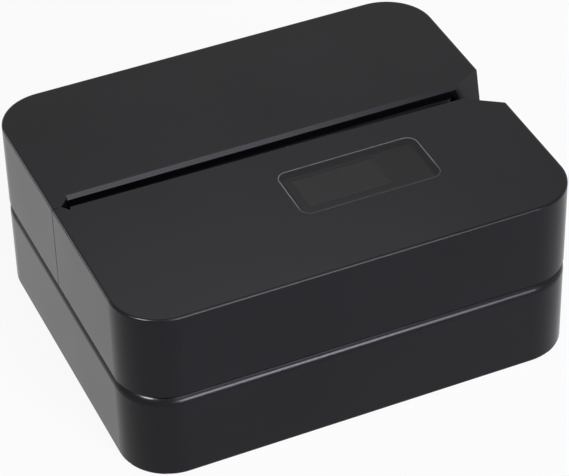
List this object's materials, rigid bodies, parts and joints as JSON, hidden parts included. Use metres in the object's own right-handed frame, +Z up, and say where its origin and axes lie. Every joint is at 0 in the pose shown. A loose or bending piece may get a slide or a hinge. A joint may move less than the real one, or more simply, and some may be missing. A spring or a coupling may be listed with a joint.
{
  "type": "disc label printer",
  "caption": "Black desktop printer with a rounded case in an upper and a lower storey, a slot on top for a disc on edge, a display window and a lid over its ribbon cassette.",
  "frame": {"origin": "on the table, under the middle of the case", "axes": "+X to the right and -Y to the front as a user faces it, +Z up"},
  "size_m": [0.171, 0.14, 0.0712],
  "materials": {
    "case_abs": "satin moulded",
    "window_acrylic": "gloss, smoked",
    "screen_glass": "liquid-crystal panel, off",
    "inner_abs": "matt moulded",
    "deck_plastic": "matt moulded",
    "plated_steel": "zinc plated",
    "gear_pom": "natural acetal",
    "roller_rubber": "ground",
    "foot_rubber": "moulded",
    "circuit_board": "solder mask",
    "chip_epoxy": "moulded",
    "heatsink_aluminium": "milled",
    "head_ceramic": "glazed ceramic",
    "brass": "turned",
    "ribbon_film": "inked film",
    "cassette_plastic": "moulded"
  },
  "bodies": {
    "chassis": {"lower_case": "case_abs", "rear_cover": "case_abs", "rubber_feet": "foot_rubber", "case_screws": "plated_steel", "hinge_brackets": "inner_abs", "cover_catches": "inner_abs", "chassis_deck": "deck_plastic", "gear_plate": "plated_steel", "inner_screws": "plated_steel", "standoffs": "brass", "idler_pins": "plated_steel", "stepper_motor": "plated_steel", "disc_rail": "inner_abs", "disc_guide_rear": "inner_abs", "disc_guides_front": "inner_abs", "head_pin": "plated_steel", "head_spring": "plated_steel", "cassette_shell": "cassette_plastic", "cassette_lid": "cassette_plastic", "ink_ribbon": "ribbon_film", "supply_post": "plated_steel", "main_board": "circuit_board", "board_chips": "chip_epoxy", "usb_socket": "plated_steel", "dc_socket": "chip_epoxy", "power_switch": "chip_epoxy"},
    "lid": {"front_cover": "case_abs", "hinge_pins": "plated_steel", "display_window": "window_acrylic", "display_frame": "inner_abs", "screen_panel": "screen_glass", "display_board": "circuit_board", "display_screws": "plated_steel"},
    "platen": {"platen_shaft": "plated_steel", "platen_roller": "roller_rubber", "platen_gear": "gear_pom"},
    "feed_left": {"feed_shaft_left": "plated_steel", "feed_roller_left": "roller_rubber", "feed_gear_left": "gear_pom"},
    "feed_right": {"feed_shaft_right": "plated_steel", "feed_roller_right": "roller_rubber", "feed_gear_right": "gear_pom"},
    "idler_left": {"idler_gear_left": "gear_pom"},
    "idler_right": {"idler_gear_right": "gear_pom"},
    "idler_front": {"idler_gear_front": "gear_pom"},
    "idler_takeup": {"idler_gear_takeup": "gear_pom"},
    "pinion": {"motor_shaft": "plated_steel", "motor_pinion": "brass"},
    "takeup": {"takeup_spindle": "plated_steel", "takeup_gear": "gear_pom", "takeup_spool": "gear_pom", "takeup_roll": "ribbon_film"},
    "supply": {"supply_spool": "gear_pom", "supply_roll": "ribbon_film"},
    "pinch_left": {"pinch_roller_left": "gear_pom"},
    "pinch_right": {"pinch_roller_right": "gear_pom"},
    "head": {"head_arm": "plated_steel", "head_heatsink": "heatsink_aluminium", "print_head": "head_ceramic"},
    "power_key": {"power_button": "case_abs"}
  },
  "joints": [
    {"name": "lid_hinge", "type": "hinge", "parent": "chassis", "child": "lid", "pos_m": [0, -0.0675, 0.0429], "axis": [1, 0, 0], "range_deg": [0, 70]},
    {"name": "head_swing", "type": "hinge", "parent": "chassis", "child": "head", "pos_m": [-0.013, -0.008, 0.0389], "axis": [0, 0, 1], "range_deg": [0, 2.2], "stiffness_Nm_per_rad": 0.5},
    {"name": "platen_spin", "type": "hinge", "parent": "chassis", "child": "platen", "pos_m": [0.012, 0.0102, 0.0315], "axis": [0, 0, 1], "continuous": true},
    {"name": "feed_left_spin", "type": "hinge", "parent": "chassis", "child": "feed_left", "pos_m": [-0.02, 0.0102, 0.0315], "axis": [0, 0, 1], "continuous": true},
    {"name": "feed_right_spin", "type": "hinge", "parent": "chassis", "child": "feed_right", "pos_m": [0.044, 0.0102, 0.0315], "axis": [0, 0, 1], "continuous": true},
    {"name": "idler_left_spin", "type": "hinge", "parent": "chassis", "child": "idler_left", "pos_m": [-0.004, 0.0102, 0.0315], "axis": [0, 0, 1], "continuous": true},
    {"name": "idler_right_spin", "type": "hinge", "parent": "chassis", "child": "idler_right", "pos_m": [0.028, 0.0102, 0.0315], "axis": [0, 0, 1], "continuous": true},
    {"name": "idler_front_spin", "type": "hinge", "parent": "chassis", "child": "idler_front", "pos_m": [0.012, -0.0058, 0.0315], "axis": [0, 0, 1], "continuous": true},
    {"name": "idler_takeup_spin", "type": "hinge", "parent": "chassis", "child": "idler_takeup", "pos_m": [0.02734, -0.01035, 0.0315], "axis": [0, 0, 1], "continuous": true},
    {"name": "pinion_spin", "type": "hinge", "parent": "chassis", "child": "pinion", "pos_m": [0.012, 0.0222, 0.0315], "axis": [0, 0, 1], "continuous": true},
    {"name": "takeup_spin", "type": "hinge", "parent": "chassis", "child": "takeup", "pos_m": [0.036, -0.0238, 0.0315], "axis": [0, 0, 1], "continuous": true},
    {"name": "supply_spin", "type": "hinge", "parent": "chassis", "child": "supply", "pos_m": [-0.012, -0.0238, 0.0315], "axis": [0, 0, 1], "continuous": true},
    {"name": "pinch_left_spin", "type": "hinge", "parent": "chassis", "child": "pinch_left", "pos_m": [-0.02, -0.0002, 0.0315], "axis": [0, 0, 1], "continuous": true},
    {"name": "pinch_right_spin", "type": "hinge", "parent": "chassis", "child": "pinch_right", "pos_m": [0.044, -0.0002, 0.0315], "axis": [0, 0, 1], "continuous": true},
    {"name": "power_press", "type": "slide", "parent": "chassis", "child": "power_key", "axis": [-1, 0, 0], "range_m": [0, 0.001], "stiffness_N_per_m": 300, "springref_m": -0.0005}
  ],
  "couplings": [
    {"joint": "feed_left_spin", "follows": "platen_spin", "ratio": 1},
    {"joint": "feed_right_spin", "follows": "platen_spin", "ratio": 1},
    {"joint": "idler_left_spin", "follows": "platen_spin", "ratio": -1},
    {"joint": "idler_right_spin", "follows": "platen_spin", "ratio": -1},
    {"joint": "idler_front_spin", "follows": "platen_spin", "ratio": -1},
    {"joint": "idler_takeup_spin", "follows": "platen_spin", "ratio": 1},
    {"joint": "takeup_spin", "follows": "platen_spin", "ratio": -1},
    {"joint": "pinion_spin", "follows": "platen_spin", "ratio": -2},
    {"joint": "supply_spin", "follows": "platen_spin", "ratio": -0.6667}
  ]
}
